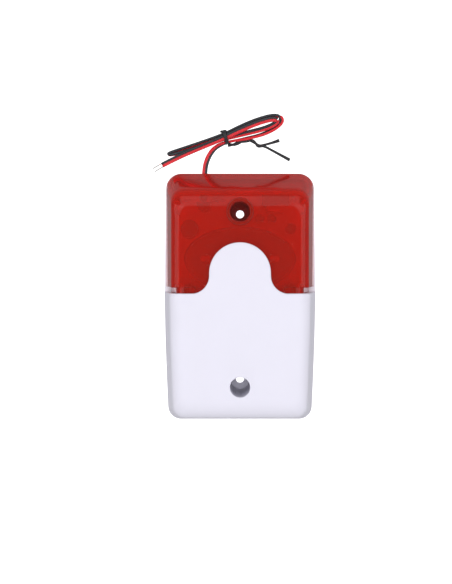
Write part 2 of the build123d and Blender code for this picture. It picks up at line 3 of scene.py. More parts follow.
import bmesh
import bpy
import numpy as np
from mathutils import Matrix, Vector


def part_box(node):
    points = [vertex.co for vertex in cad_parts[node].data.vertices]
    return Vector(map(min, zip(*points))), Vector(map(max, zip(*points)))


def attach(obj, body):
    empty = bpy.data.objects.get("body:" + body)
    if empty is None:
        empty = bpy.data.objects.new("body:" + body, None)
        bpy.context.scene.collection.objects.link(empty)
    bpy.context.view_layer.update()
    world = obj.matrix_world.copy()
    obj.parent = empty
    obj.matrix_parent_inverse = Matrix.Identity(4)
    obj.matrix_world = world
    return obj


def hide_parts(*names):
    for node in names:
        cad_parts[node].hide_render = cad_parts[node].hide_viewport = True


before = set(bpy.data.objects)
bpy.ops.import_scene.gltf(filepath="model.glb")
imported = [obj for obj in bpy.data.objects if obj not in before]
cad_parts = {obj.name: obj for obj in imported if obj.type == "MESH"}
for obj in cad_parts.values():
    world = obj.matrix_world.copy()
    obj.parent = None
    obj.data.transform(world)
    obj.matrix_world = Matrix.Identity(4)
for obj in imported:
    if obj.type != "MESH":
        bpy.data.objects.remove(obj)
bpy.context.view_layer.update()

LENS_LOW, LENS_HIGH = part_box("lens")
COVER_LOW, COVER_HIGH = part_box("front_cover")
TOP_WELL = 0.0406
BOTTOM_WELL = -0.0414


# ---------------------------------------------------------------- camera and cord


def make_camera():
    """Looks straight down on the unit from a little over half a metre."""
    bpy.ops.object.camera_add(location=(0, 0.01735, 0.59), rotation=(0, 0, 0))
    camera = bpy.context.object
    camera.name = "camera"
    camera.data.sensor_width = 36
    camera.data.lens = 72.7
    camera.data.shift_x = -0.024
    camera.data.shift_y = -0.053
    camera.data.clip_start = 0.01
    bpy.context.scene.camera = camera


make_camera()

CORE = 0.00067
# Each row is a point of the lead's middle, then the way from its red core to its black core there.
LEAD_ROUTE = [
    ((-0.0177, 0.0563, 0.0036), (1.0, 0.0, 0.0)),
    ((-0.0177, 0.0611, 0.0036), (1.0, 0.0, 0.0)),
    ((-0.0168, 0.0674, 0.0017), (1.0, -0.2, -0.2)),
    ((-0.0133, 0.0735, 0.0015), (0.7, -0.4, -0.8)),
    ((-0.0075, 0.0766, 0.0016), (0.1, 0.1, -1.0)),
    ((0.0030, 0.0784, 0.0016), (-0.2, 0.5, -0.9)),
    ((0.0120, 0.0806, 0.0015), (-0.3, 0.6, -0.8)),
    ((0.0184, 0.0840, 0.0019), (-0.6, 0.6, -0.5)),
    ((0.0214, 0.0876, 0.0034), (-0.9, 0.3, 0.4)),
    ((0.0180, 0.0899, 0.0050), (-0.3, 0.6, 0.7)),
    ((0.0090, 0.0878, 0.0046), (-0.2, 0.5, 0.8)),
    ((0.0, 0.0841, 0.0040), (-0.2, 0.5, 0.8)),
    ((-0.0075, 0.0803, 0.0034), (-0.2, 0.5, 0.8)),
    ((-0.0190, 0.0765, 0.0024), (-0.1, 0.3, 0.95)),
    ((-0.0290, 0.0733, 0.0018), (-0.1, 0.2, 1.0)),
    ((-0.0345, 0.0716, 0.0016), (-0.1, 0.1, 1.0)),
    ((-0.0361, 0.0707, 0.0015), (-0.1, 0.1, 1.0)),
    ((-0.0345, 0.0700, 0.0015), (-0.1, 0.1, 1.0)),
    ((-0.0220, 0.0738, 0.0015), (-0.1, 0.2, 1.0)),
    ((-0.0075, 0.0786, 0.0020), (-0.2, 0.6, 0.7)),
    ((0.0040, 0.0812, 0.0030), (-0.3, 0.9, 0.3)),
    ((0.0130, 0.0834, 0.0032), (-0.3, 0.9, 0.2)),
    ((0.0186, 0.0862, 0.0038), (-0.6, 0.7, 0.3)),
    ((0.0178, 0.0882, 0.0054), (-0.4, 0.8, 0.4)),
    ((0.0100, 0.0863, 0.0062), (-0.3, 0.9, 0.1)),
    ((0.0010, 0.0826, 0.0060), (-0.3, 0.9, 0.1)),
    ((-0.0075, 0.0786, 0.0056), (-0.3, 0.9, 0.0)),
    ((-0.0190, 0.0740, 0.0044), (-0.3, 0.9, 0.2)),
    ((-0.0300, 0.0695, 0.0034), (-0.4, 0.9, 0.1)),
    ((-0.0388, 0.0652, 0.0015), (-0.5, 0.9, 0.0)),
]


def deselect():
    """Leaves edit mode and selects nothing."""
    if bpy.context.object and bpy.context.object.mode != "OBJECT":
        bpy.ops.object.mode_set(mode="OBJECT")
    bpy.ops.object.select_all(action="DESELECT")


def activate(piece):
    """Makes piece the only selected object."""
    deselect()
    piece.select_set(True)
    bpy.context.view_layer.objects.active = piece


def smooth_line(points, name):
    """Points read along a NURBS spline through the control points given."""
    curve = bpy.data.curves.new(name, "CURVE")
    curve.dimensions = "3D"
    curve.resolution_u = 12
    spline = curve.splines.new("NURBS")
    spline.points.add(len(points) - 1)
    for place, point in zip(spline.points, points):
        place.co = (*point, 1)
    spline.order_u = 3
    spline.use_endpoint_u = True
    holder = bpy.data.objects.new(name, curve)
    bpy.context.collection.objects.link(holder)
    bpy.context.view_layer.update()
    mesh = bpy.data.meshes.new_from_object(holder.evaluated_get(bpy.context.evaluated_depsgraph_get()))
    line = [tuple(v.co) for v in mesh.vertices]
    bpy.data.objects.remove(holder)
    bpy.data.meshes.remove(mesh)
    bpy.data.curves.remove(curve)
    return line


def tube_along(name, line, sections):
    """A mesh tube whose outline at each point of line is the list of points in sections."""
    count = len(sections[0])
    vertices = [point for section in sections for point in section]
    faces = []
    for row in range(len(line) - 1):
        for column in range(count):
            after = (column + 1) % count
            a = row * count
            b = a + count
            faces.append((a + column, a + after, b + after, b + column))
    faces.append(tuple(reversed(range(count))))
    last = (len(line) - 1) * count
    faces.append(tuple(range(last, last + count)))
    mesh = bpy.data.meshes.new(name)
    mesh.from_pydata(vertices, [], faces)
    mesh.update()
    piece = bpy.data.objects.new(name, mesh)
    bpy.context.collection.objects.link(piece)
    for polygon in mesh.polygons:
        polygon.use_smooth = len(polygon.vertices) == 4
    return piece


def directions(line):
    """The unit tangent at each point of a line."""
    points = np.array(line)
    ways = np.gradient(points, axis=0)
    return ways / np.linalg.norm(ways, axis=1)[:, None]


def spread(values, count):
    """Values given at the route's points, spread evenly over count places."""
    table = np.array(values, float)
    at = np.linspace(0, len(table) - 1, count)
    low = np.minimum(at.astype(int), len(table) - 2)
    share = (at - low)[:, None]
    share = share * share * (3 - 2 * share)
    return table[low] * (1 - share) + table[low + 1] * share


def lead_outline():
    """Outline of the flat lead across its width: two round cores joined by a thin web."""
    outline = []
    for side in (-1, 1):
        for step in range(13):
            angle = math.radians(-145 + step * 290 / 12)
            outline.append((side * CORE * (0.98 + math.cos(angle)), side * CORE * math.sin(angle)))
    return outline


def make_lead():
    """The flat red and black lead, from inside the case to the bare wire ends."""
    line = smooth_line([point for point, _ in LEAD_ROUTE], "lead_line")
    ways = directions(line)
    across = spread([way for _, way in LEAD_ROUTE], len(line))
    across -= (across * ways).sum(1)[:, None] * ways
    across /= np.linalg.norm(across, axis=1)[:, None]
    over = np.cross(ways, across)
    outline = lead_outline()
    sections = [
        [tuple(Vector(p) + Vector(a) * u + Vector(o) * v) for u, v in outline]
        for p, a, o in zip(line, across, over)
    ]
    lead = tube_along("supply_lead", line, sections)
    lead.data.materials.append(MATERIALS["black_insulation"])
    lead.data.materials.append(MATERIALS["red_insulation"])
    count = len(outline)
    for number, polygon in enumerate(lead.data.polygons):
        polygon.material_index = 1 if number % count < count // 2 else 0
    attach(lead, "root")
    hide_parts("lead_exit", "lead_hank", "lead_tail")
    return lead, line


# ---------------------------------------------------------------- shader groups and materials


def new_group(name, inputs, outputs):
    """An empty shader group with named sockets, and its input and output nodes."""
    group = bpy.data.node_groups.new(name, "ShaderNodeTree")
    for label, kind, value in inputs:
        socket = group.interface.new_socket(label, in_out="INPUT", socket_type=kind)
        if value is not None:
            socket.default_value = value
    for label, kind in outputs:
        group.interface.new_socket(label, in_out="OUTPUT", socket_type=kind)
    return group, group.nodes.new("NodeGroupInput"), group.nodes.new("NodeGroupOutput")


def make_grain_group():
    """Fine mould grain for bump, and a broad soft mottle for shade and gloss."""
    group, start, end = new_group(
        "moulded_grain",
        [
            ("Vector", "NodeSocketVector", None),
            ("Fine", "NodeSocketFloat", 2500.0),
            ("Broad", "NodeSocketFloat", 60.0),
            ("Broad Share", "NodeSocketFloat", 0.3),
        ],
        [("Height", "NodeSocketFloat"), ("Mottle", "NodeSocketFloat")],
    )
    link = group.links.new
    fine = group.nodes.new("ShaderNodeTexNoise")
    fine.inputs["Detail"].default_value = 2.0
    broad = group.nodes.new("ShaderNodeTexNoise")
    broad.inputs["Detail"].default_value = 3.0
    for texture, label in ((fine, "Fine"), (broad, "Broad")):
        link(start.outputs["Vector"], texture.inputs["Vector"])
        link(start.outputs[label], texture.inputs["Scale"])
    blend = group.nodes.new("ShaderNodeMix")
    link(start.outputs["Broad Share"], blend.inputs[0])
    link(fine.outputs["Fac"], blend.inputs[2])
    link(broad.outputs["Fac"], blend.inputs[3])
    link(blend.outputs[0], end.inputs["Height"])
    spread_out = group.nodes.new("ShaderNodeMapRange")
    spread_out.inputs["From Min"].default_value = 0.3
    spread_out.inputs["From Max"].default_value = 0.7
    link(broad.outputs["Fac"], spread_out.inputs["Value"])
    link(spread_out.outputs["Result"], end.inputs["Mottle"])
    return group


GRAIN = make_grain_group()


def finish(name, colour, roughness, shade, gloss_spread, fine, broad, share, bump, depth, values):
    """A material with mottled shade and gloss and a fine bump; values go on the shader's own sockets."""
    material = bpy.data.materials.new(name)
    material.use_nodes = True
    tree = material.node_tree
    link = tree.links.new
    shader = tree.nodes["Principled BSDF"]
    for label, value in values.items():
        shader.inputs[label.replace("_", " ").title().replace("Ior", "IOR")].default_value = value
    place = tree.nodes.new("ShaderNodeTexCoord")
    grain = tree.nodes.new("ShaderNodeGroup")
    grain.node_tree = GRAIN
    grain.inputs["Fine"].default_value = fine
    grain.inputs["Broad"].default_value = broad
    grain.inputs["Broad Share"].default_value = share
    link(place.outputs["Object"], grain.inputs["Vector"])
    tint = tree.nodes.new("ShaderNodeMix")
    tint.data_type = "RGBA"
    tint.inputs[6].default_value = (*colour, 1)
    tint.inputs[7].default_value = (*[shade * part for part in colour], 1)
    link(grain.outputs["Mottle"], tint.inputs[0])
    link(tint.outputs[2], shader.inputs["Base Color"])
    gloss = tree.nodes.new("ShaderNodeMapRange")
    gloss.inputs["To Min"].default_value = roughness
    gloss.inputs["To Max"].default_value = roughness + gloss_spread
    link(grain.outputs["Mottle"], gloss.inputs["Value"])
    link(gloss.outputs["Result"], shader.inputs["Roughness"])
    relief = tree.nodes.new("ShaderNodeBump")
    relief.inputs["Strength"].default_value = bump
    relief.inputs["Distance"].default_value = depth
    link(grain.outputs["Height"], relief.inputs["Height"])
    link(relief.outputs["Normal"], shader.inputs["Normal"])
    return material


PLAIN = {}
GLOSSY = {"ior": 1.5}
METAL = {"metallic": 1.0}
GLASS = {"transmission_weight": 1.0, "ior": 1.47}
CLEAR_RED = {"transmission_weight": 0.78, "ior": 1.45, "specular_ior_level": 0.25}

# colour, roughness, shade of the mottle, spread of the gloss, fine and broad grain per metre,
# share of the broad grain, strength and depth of the bump, and values for the shader itself
FINISHES = {
    "red_lens": ((0.98, 0.022, 0.003), 0.06, 0.97, 0.02, 900, 40, 0.8, 0.05, 0.0002, CLEAR_RED),
    "white_cover": ((0.64, 0.628, 0.715), 0.34, 0.985, 0.06, 2600, 70, 0.2, 0.12, 0.00003, GLOSSY),
    "white_base": ((0.80, 0.79, 0.86), 0.42, 0.97, 0.08, 2200, 50, 0.2, 0.15, 0.00004, GLOSSY),
    "black_insulation": ((0.018, 0.019, 0.023), 0.34, 1.5, 0.12, 1800, 200, 0.5, 0.2, 0.00004, GLOSSY),
    "red_insulation": ((0.62, 0.018, 0.028), 0.32, 0.86, 0.12, 1800, 200, 0.5, 0.2, 0.00004, GLOSSY),
    "tinned_copper": ((0.74, 0.72, 0.70), 0.28, 0.85, 0.15, 6000, 300, 0.4, 0.4, 0.00003, METAL),
    "tie_plastic": ((0.012, 0.013, 0.015), 0.38, 1.6, 0.15, 1500, 300, 0.5, 0.3, 0.00005, GLOSSY),
    "screw_steel": ((0.60, 0.60, 0.62), 0.28, 0.8, 0.15, 4000, 300, 0.4, 0.2, 0.00002, METAL),
    # the reflector's near-black colour is a painted reflection: the chrome is darkened to stand in for the
    # dark surroundings it mirrors
    "reflector_chrome": ((0.12, 0.11, 0.115), 0.30, 0.9, 0.08, 1500, 80, 0.6, 0.15, 0.00006, METAL),
    "tube_glass": ((0.95, 0.96, 0.98), 0.02, 0.99, 0.01, 900, 60, 0.5, 0.02, 0.00002, GLASS),
    "pin_metal": ((0.68, 0.68, 0.68), 0.3, 0.85, 0.1, 4000, 300, 0.4, 0.2, 0.00002, METAL),
    "ferrite": ((0.05, 0.05, 0.055), 0.55, 1.3, 0.2, 3000, 200, 0.4, 0.5, 0.00006, PLAIN),
    "winding_tape": ((0.78, 0.52, 0.06), 0.25, 0.9, 0.1, 1500, 200, 0.5, 0.15, 0.00005, GLOSSY),
    "coil_resin": ((0.05, 0.14, 0.06), 0.3, 0.8, 0.15, 1500, 200, 0.5, 0.2, 0.00006, GLOSSY),
    "capacitor_sleeve": ((0.015, 0.016, 0.02), 0.28, 1.5, 0.12, 1500, 150, 0.6, 0.15, 0.00006, GLOSSY),
    "film_resin": ((0.40, 0.07, 0.03), 0.25, 0.85, 0.1, 1500, 200, 0.6, 0.2, 0.00008, GLOSSY),
    "chip_epoxy": ((0.022, 0.022, 0.024), 0.5, 1.3, 0.15, 3500, 200, 0.3, 0.4, 0.00005, PLAIN),
    "resistor_body": ((0.52, 0.38, 0.20), 0.4, 0.9, 0.1, 2500, 300, 0.4, 0.2, 0.00004, PLAIN),
    "board_laminate": ((0.78, 0.58, 0.34), 0.45, 0.88, 0.15, 3000, 120, 0.3, 0.2, 0.00003, PLAIN),
    "black_capsule": ((0.02, 0.02, 0.022), 0.42, 1.4, 0.1, 2400, 100, 0.2, 0.25, 0.00004, PLAIN),
    "piezo_brass": ((0.72, 0.50, 0.18), 0.25, 0.85, 0.15, 3000, 90, 0.4, 0.2, 0.00003, METAL),
    "piezo_ceramic": ((0.70, 0.69, 0.64), 0.5, 0.93, 0.1, 3000, 200, 0.4, 0.2, 0.00003, PLAIN),
    "seal_rubber": ((0.02, 0.02, 0.02), 0.65, 1.4, 0.15, 2500, 200, 0.4, 0.4, 0.00006, PLAIN),
}
MATERIALS = {name: finish(name, *numbers) for name, numbers in FINISHES.items()}


# ---------------------------------------------------------------- modelling helpers


def cube_piece(name, low, high):
    """A block between two corners, ready to be shaped."""
    deselect()
    middle = [(a + b) / 2 for a, b in zip(low, high)]
    bpy.ops.mesh.primitive_cube_add(size=1, location=middle)
    piece = bpy.context.object
    piece.name = name
    piece.scale = [b - a for a, b in zip(low, high)]
    bpy.ops.object.transform_apply(location=True, rotation=True, scale=True)
    return piece


def round_piece(name, centre, radius, low, high, sides=64):
    """An upright cylinder, ready to be shaped."""
    deselect()
    bpy.ops.mesh.primitive_cylinder_add(
        vertices=sides, radius=radius, depth=high - low, location=(centre[0], centre[1], (low + high) / 2)
    )
    piece = bpy.context.object
    piece.name = name
    bpy.ops.object.transform_apply(location=True, rotation=True, scale=True)
    return piece


def pick(piece, kind, test):
    """In edit mode, selects the vertices, edges or faces for which test is true."""
    activate(piece)
    bpy.ops.object.mode_set(mode="EDIT")
    bpy.ops.mesh.select_mode(type=kind)
    bpy.ops.mesh.select_all(action="DESELECT")
    form = bmesh.from_edit_mesh(piece.data)
    items = {"VERT": form.verts, "EDGE": form.edges, "FACE": form.faces}[kind]
    chosen = [item for item in items if test(item)]
    for item in chosen:
        item.select_set(True)
    bmesh.update_edit_mesh(piece.data)
    return len(chosen)


def middle_of(edge):
    """Middle of an edge."""
    return (edge.verts[0].co + edge.verts[1].co) / 2


def combine(piece, other, operation):
    """Cuts other out of piece or joins it on, and removes other."""
    activate(piece)
    modifier = piece.modifiers.new("boolean", "BOOLEAN")
    modifier.object = other
    modifier.operation = operation
    modifier.solver = "EXACT"
    bpy.ops.object.modifier_apply(modifier=modifier.name)
    bpy.data.objects.remove(other)


def dress(piece, material, node=None, angle=35):
    """Gives a piece its material and smooth shading, says what it rides on, and hides the CAD part it stands
    for.
    """
    activate(piece)
    piece.data.materials.clear()
    piece.data.materials.append(MATERIALS[material])
    bpy.ops.object.shade_smooth_by_angle(angle=math.radians(angle))
    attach(piece, "root")
    if node:
        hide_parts(node)
    return piece


def near(a, b, gap=0.00002):
    """Whether two lengths are the same."""
    return abs(a - b) < gap


# ---------------------------------------------------------------- lens and cover

RIM = 0.008
WALL = 0.002
SHOULDER = COVER_HIGH[1] - 0.0239
FLANGE_END = SHOULDER + 0.0026
LENS_FRONT = LENS_HIGH[2] - 0.0006
COVER_FRONT = COVER_HIGH[2]
TUCK_STEP = 0.0025
SLIDE_GAP = 0.0003
THROUGH = 0.004
WELL_BORE = 0.00465
WELL_WALL = 0.00145
WELL_RING = 0.0065
WELL_FLOOR = (0.0022, 0.0042)
BOSS_X = 0.0234
TONGUE_RADIUS = 0.0144
TONGUE_FLARE = 0.0084
SLOT_COUNT = 5
SLOT_HALF = 0.0012
SLOT_PITCH = 0.0048
SLOT_HEIGHTS = (RIM + 0.005, RIM + 0.014)

LENS_FORM = {
    "side": LENS_HIGH[0],
    "end": LENS_HIGH[1],
    "front": LENS_FRONT,
    "side_draft": 8.5,
    "end_draft": 20.5,
    "side_bend": 0.0044,
    "end_bend": 0.012,
    "corner": 0.0078,
    "taper": 0.0,
}
COVER_FORM = {
    "side": COVER_HIGH[0],
    "end": COVER_LOW[1],
    "front": COVER_FRONT,
    "side_draft": 8.0,
    "end_draft": 8.5,
    "side_bend": 0.0066,
    "end_bend": 0.010,
    "corner": 0.0062,
    "taper": 0.0021,
}


def wall_inset(height, draft, bend, front):
    """How far a drafted wall that bends into the front has come in at a height above the rim."""
    slope = math.radians(draft)
    centre = front - bend
    touch = centre + bend * math.sin(slope)
    if height <= touch:
        return (height - RIM) * math.tan(slope)
    drop = max(0.0, bend * bend - (height - centre) ** 2)
    return (touch - RIM) * math.tan(slope) + bend * math.cos(slope) - math.sqrt(drop)


def levels(foot, front, bend, count):
    """Heights from the foot to the front, closer together where the wall bends over."""
    turn = front - bend
    bent = [turn + bend * math.sin(math.pi / 2 * step / count) for step in range(count + 1)]
    return [foot, (RIM + turn) / 2] + bent


def raised_block(name, form, plain_end, inset=0.0, foot=RIM, narrow=0.0, bend_steps=16):
    """A closed block raised level by level from its outline, with walls that bend into a flat front."""
    way = math.copysign(1, form["end"] - plain_end)
    side = form["side"] - inset - narrow
    reach = abs(form["end"] - plain_end) - inset
    front = form["front"] - inset
    bends = form["side_bend"] - inset, form["end_bend"] - inset

    def size_at(height):
        across = side - wall_inset(height, form["side_draft"], bends[0], front)
        along = reach - wall_inset(height, form["end_draft"], bends[1], front)
        return across, along

    wide, long = size_at(foot)
    far = plain_end + way * long
    block = cube_piece(name, (-wide, min(plain_end, far), foot - 0.0001), (wide, max(plain_end, far), foot))
    for share in (0.35, 0.7):
        pick(block, "FACE", lambda f: True)
        bpy.ops.mesh.bisect(plane_co=(0, plain_end + way * long * share, 0), plane_no=(0, 1, 0))
    for share in (0.35, 0.7, 1.0):
        for hand in (-1, 1):
            row = plain_end + way * long * share
            pick(block, "VERT", lambda v: near(v.co.y, row) and v.co.x * hand > 0)
            bpy.ops.transform.translate(value=(-hand * form["taper"] * share**1.5, 0, 0))
    pick(block, "EDGE", lambda e: near(middle_of(e).z, foot - 0.00005, 0.00003) and near(middle_of(e).y, far))
    bpy.ops.mesh.bevel(offset=form["corner"] - inset * 0.8, segments=12, profile=0.5, affect="EDGES")
    pick(block, "FACE", lambda f: f.normal.z > 0.99)
    heights = levels(foot, front, form["end_bend"] - inset, bend_steps)
    for lower, upper in zip(heights, heights[1:]):
        before, after = size_at(lower), size_at(upper)
        scale = (after[0] / before[0], after[1] / before[1], 1)
        bpy.ops.mesh.extrude_region_move(TRANSFORM_OT_translate={"value": (0, 0, upper - lower)})
        bpy.ops.transform.resize(value=scale, center_override=(0, plain_end, 0))
    for turned in (lambda f: abs(f.normal.z) > 0.999, lambda f: f.normal.y * way < -0.999):
        pick(block, "FACE", turned)
        bpy.ops.mesh.dissolve_limited(angle_limit=0.01)
    deselect()
    return block


def round_end(piece, plain_end, foot, width):
    """Rounds the edge where a block's plain end meets its walls and front."""

    def on_end(edge):
        a, b = (v.co for v in edge.verts)
        return near(a.y, plain_end) and near(b.y, plain_end) and max(a.z, b.z) > foot + 0.0002

    pick(piece, "EDGE", on_end)
    bpy.ops.mesh.bevel(offset=width, segments=3, profile=0.5, affect="EDGES")
    deselect()


def add_well(shell, centre, front, mouth, ring=None):
    """Adds a round well for a wall screw: a post, a deep bore, a floor with a hole, and any proud ring."""
    bore = WELL_BORE
    floor_low, floor_high = WELL_FLOOR
    combine(shell, round_piece("post", (0, centre), bore + WELL_WALL, floor_low, front - 0.001, 96), "UNION")
    if ring:
        collar = round_piece("collar", (0, centre), ring, front - 0.005, mouth, 96)
        pick(collar, "FACE", lambda f: f.normal.z > 0.99)
        bpy.ops.mesh.bevel(offset=0.0005, segments=3, affect="EDGES")
        deselect()
        combine(shell, collar, "UNION")
    combine(shell, round_piece("bore", (0, centre), bore, floor_high, mouth + 0.002, 96), "DIFFERENCE")
    combine(shell, round_piece("hole", (0, centre), 0.002, 0, floor_high + 0.001, 48), "DIFFERENCE")

    def at_mouth(edge):
        spots = [v.co for v in edge.verts]
        return all(near(c.z, mouth) and near(math.hypot(c.x, c.y - centre), bore, 0.00005) for c in spots)

    pick(shell, "EDGE", at_mouth)
    bpy.ops.mesh.bevel(offset=0.00035, segments=3, profile=0.5, affect="EDGES")
    deselect()


def screw_boss(x):
    """A hollow post inside the lens that takes a case screw from behind."""
    boss = round_piece("boss", (x, SHOULDER + 0.0013), 0.0034, RIM, LENS_FRONT - 0.001, 40)
    pick(boss, "FACE", lambda f: f.normal.z < -0.99)
    bpy.ops.mesh.inset(thickness=0.0019)
    bpy.ops.mesh.extrude_region_move(TRANSFORM_OT_translate={"value": (0, 0, 0.016)})
    deselect()
    return boss


def make_lens():
    """The clear red upper shell, with a narrower tuck that slides under the cover."""
    shell = raised_block("lens_shell", LENS_FORM, FLANGE_END)
    round_end(shell, FLANGE_END, RIM, 0.0004)
    lowered = {
        **LENS_FORM,
        "front": LENS_FRONT - 0.0002,
        "end": FLANGE_END + 0.02,
        "end_draft": 8.5,
        "end_bend": 0.004,
    }
    combine(shell, raised_block("tuck", lowered, LENS_LOW[1], narrow=TUCK_STEP), "UNION")
    foot = RIM - THROUGH
    faceted = raised_block("hollow", LENS_FORM, FLANGE_END + 0.0018, WALL, foot, bend_steps=4)
    combine(shell, faceted, "DIFFERENCE")
    narrow = raised_block("hollow", lowered, LENS_LOW[1] - THROUGH, WALL, foot, TUCK_STEP)
    combine(shell, narrow, "DIFFERENCE")
    add_well(shell, TOP_WELL, LENS_FRONT, LENS_HIGH[2], WELL_RING)
    for x in (-BOSS_X, BOSS_X):
        combine(shell, screw_boss(x), "UNION")
    return dress(shell, "red_lens", "lens", angle=14)


def tongue_block(radius, low, high):
    """The tongue over the lens: straight sides with flared roots and a round tip."""
    flare = TONGUE_FLARE
    tip = COVER_HIGH[1]
    root = SHOULDER - 0.00006
    wide = radius + flare + 0.0005
    block = cube_piece("tongue", (-wide, root - 0.0015, low), (wide, root, high))
    for x in (-radius, radius):
        pick(block, "FACE", lambda f: True)
        bpy.ops.mesh.bisect(plane_co=(x, 0, 0), plane_no=(1, 0, 0))
    pick(block, "FACE", lambda f: f.normal.y > 0.99 and abs(f.calc_center_median().x) < radius)
    bpy.ops.mesh.extrude_region_move(TRANSFORM_OT_translate={"value": (0, tip - root, 0)})
    pick(block, "FACE", lambda f: abs(f.normal.z) > 0.99)
    bpy.ops.mesh.dissolve_limited(angle_limit=0.02)

    def upright(e, x, y):
        middle = middle_of(e)
        return near(abs(middle.x), x) and near(middle.y, y) and near(middle.z, (low + high) / 2)

    pick(block, "EDGE", lambda e: upright(e, radius, tip))
    bpy.ops.mesh.bevel(offset=radius * 0.9999, segments=24, profile=0.5, affect="EDGES")
    pick(block, "EDGE", lambda e: upright(e, radius, root))
    bpy.ops.mesh.bevel(offset=flare, segments=12, profile=0.5, affect="EDGES")
    pick(block, "VERT", lambda v: True)
    bpy.ops.mesh.remove_doubles(threshold=0.00002)
    deselect()
    return block


def round_front_edge(cover, width):
    """Rounds the edge round the tongue and along the shoulder, in one run."""
    pick(cover, "FACE", lambda f: f.normal.z > 0.9995 and near(f.calc_center_median().z, COVER_FRONT))
    bpy.ops.mesh.dissolve_limited(angle_limit=0.01)
    pick(cover, "FACE", lambda f: f.normal.y > 0.9995 and near(f.calc_center_median().y, SHOULDER))
    bpy.ops.mesh.dissolve_limited(angle_limit=0.01)

    def on_edge(edge):
        a, b = (v.co for v in edge.verts)
        upper = near(a.z, COVER_FRONT) and near(b.z, COVER_FRONT) and min(a.y, b.y) > SHOULDER - 0.00002
        outline = near(a.y, SHOULDER) and near(b.y, SHOULDER) and max(abs(a.x), abs(b.x)) > 0.0265
        return upper or (outline and max(a.z, b.z) > RIM + 0.0002)

    pick(cover, "EDGE", on_edge)
    bpy.ops.mesh.bevel(offset=width, segments=3, profile=0.5, affect="EDGES")
    deselect()


def make_cover():
    """The white front cover with its tongue and the lower screw well."""
    cover = raised_block("front_shell", COVER_FORM, SHOULDER)
    combine(cover, tongue_block(TONGUE_RADIUS, LENS_FRONT - 0.0004, COVER_FRONT), "UNION")
    round_front_edge(cover, 0.0006)
    foot = RIM - THROUGH
    combine(cover, raised_block("hollow", COVER_FORM, SHOULDER - WALL, WALL, foot), "DIFFERENCE")
    opening = raised_block("opening", LENS_FORM, SHOULDER - WALL - THROUGH, -SLIDE_GAP, foot, TUCK_STEP)
    combine(cover, opening, "DIFFERENCE")
    add_well(cover, BOTTOM_WELL, COVER_FRONT, COVER_FRONT)
    for number in range(SLOT_COUNT):
        middle = (number - (SLOT_COUNT - 1) / 2) * SLOT_PITCH
        low = (middle - SLOT_HALF, COVER_LOW[1] - 0.001, SLOT_HEIGHTS[0])
        high = (middle + SLOT_HALF, COVER_LOW[1] + 0.008, SLOT_HEIGHTS[1])
        combine(cover, cube_piece("slot", low, high), "DIFFERENCE")
    return dress(cover, "white_cover", "front_cover", angle=32)


# ---------------------------------------------------------------- wire tie and wire ends

TIE_WIRE = 0.00062
TIE_TURN = math.radians(16.7)
TIE_CENTRE = (-0.0073, 0.0790)


def bent_wire(name, points, radius, ends=1.0, closed=False):
    """A round wire bent through points, its last stretch pressed wider by ends."""
    deselect()
    bpy.ops.curve.primitive_nurbs_path_add()
    wire = bpy.context.object
    wire.name = name
    curve = wire.data
    curve.splines.clear()
    spline = curve.splines.new("NURBS")
    spline.points.add(len(points) - 1)
    for place, point in zip(spline.points, points):
        place.co = (*point, 1)
        place.radius = 1.0
    spline.points[-1].radius = ends
    spline.order_u = 3
    spline.use_endpoint_u = not closed
    spline.use_cyclic_u = closed
    curve.dimensions = "3D"
    curve.resolution_u = 8
    curve.bevel_depth = radius
    curve.bevel_resolution = 3
    curve.use_fill_caps = True
    bpy.ops.object.convert(target="MESH")
    bpy.ops.object.transform_apply(location=True, rotation=True, scale=True)
    return bpy.context.object


def join_pieces(pieces, name):
    """One piece from several."""
    deselect()
    for piece in pieces:
        piece.select_set(True)
    bpy.context.view_layer.objects.active = pieces[0]
    bpy.ops.object.join()
    joined = bpy.context.object
    joined.name = name
    pick(joined, "VERT", lambda v: True)
    bpy.ops.mesh.normals_make_consistent(inside=False)
    deselect()
    return joined


def tie_spot(along, across, height):
    """A point given along and across the bundle at the tie."""
    return (
        TIE_CENTRE[0] + along * math.cos(TIE_TURN) - across * math.sin(TIE_TURN),
        TIE_CENTRE[1] + along * math.sin(TIE_TURN) + across * math.cos(TIE_TURN),
        height,
    )


def tie_band(along, lean_over):
    """One turn of the tie round the bundle, leaning over by its top."""
    outline = [
        (-0.0030, 0.0012),
        (-0.0033, 0.0036),
        (-0.0024, 0.0066),
        (0.0, 0.0073),
        (0.0022, 0.0066),
        (0.0033, 0.0036),
        (0.0028, 0.0012),
        (0.0, 0.0007),
    ]
    points = [tie_spot(along + lean_over * height / 0.007, across, height) for across, height in outline]
    return bent_wire("tie_band", points, TIE_WIRE, closed=True)


